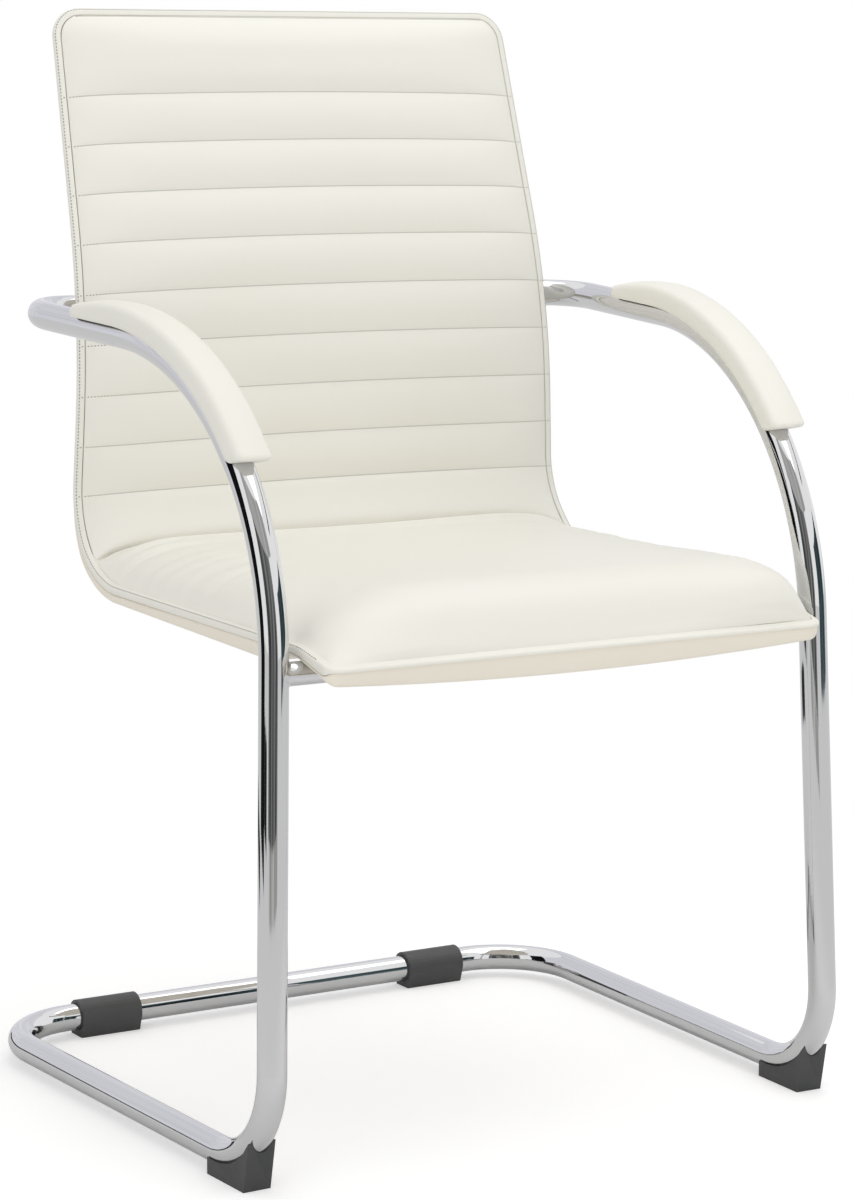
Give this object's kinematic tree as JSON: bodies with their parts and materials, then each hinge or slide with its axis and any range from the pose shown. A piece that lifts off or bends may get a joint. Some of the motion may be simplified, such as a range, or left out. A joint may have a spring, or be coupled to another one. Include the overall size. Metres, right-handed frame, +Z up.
{
  "type": "cantilever visitor chair",
  "caption": "Cantilever visitor chair with a bent chrome tube frame, a quilted one-piece seat and back in off-white upholstery, and padded arms.",
  "frame": {"origin": "on the floor, under the middle of the chair's bounding box", "axes": "+Z up, -Y the way the sitter faces, +X to the right as seen from the front"},
  "size_m": [0.6174, 0.5574, 0.9608],
  "materials": {
    "chrome": "polished chrome plate",
    "off_white_upholstery": "soft matte upholstery",
    "beige_upholstery": "soft matte upholstery in shade",
    "dark_plastic": "moulded satin plastic",
    "steel": "plain zinc plated",
    "board": "bent plywood"
  },
  "bodies": {
    "root": {"side_tube_left": "chrome", "side_tube_right": "chrome", "rear_floor_bar": "chrome", "back_cross_bar": "chrome", "seat_cross_bar": "chrome", "floor_spigot_left": "steel", "floor_spigot_right": "steel", "back_spigot_left": "steel", "back_spigot_right": "steel", "shell_core": "board", "front_pad": "off_white_upholstery", "rear_cover": "beige_upholstery", "edge_band": "beige_upholstery", "arm_pad_left": "off_white_upholstery", "arm_pad_right": "off_white_upholstery", "arm_pad_base_left": "dark_plastic", "arm_pad_base_right": "dark_plastic", "arm_pad_screw_front_left": "steel", "arm_pad_screw_rear_left": "steel", "arm_pad_screw_front_right": "steel", "arm_pad_screw_rear_right": "steel", "front_foot_left": "dark_plastic", "front_foot_right": "dark_plastic", "foot_screw_left": "steel", "foot_screw_right": "steel", "rear_glide_left": "dark_plastic", "rear_glide_right": "dark_plastic", "seat_bolt_left": "steel", "seat_bolt_right": "steel", "seat_tee_nut_left": "steel", "seat_tee_nut_right": "steel", "back_bolt_left": "steel", "back_bolt_right": "steel", "back_tee_nut_left": "steel", "back_tee_nut_right": "steel", "back_spacer_left": "dark_plastic", "back_spacer_right": "dark_plastic"}
  },
  "joints": []
}
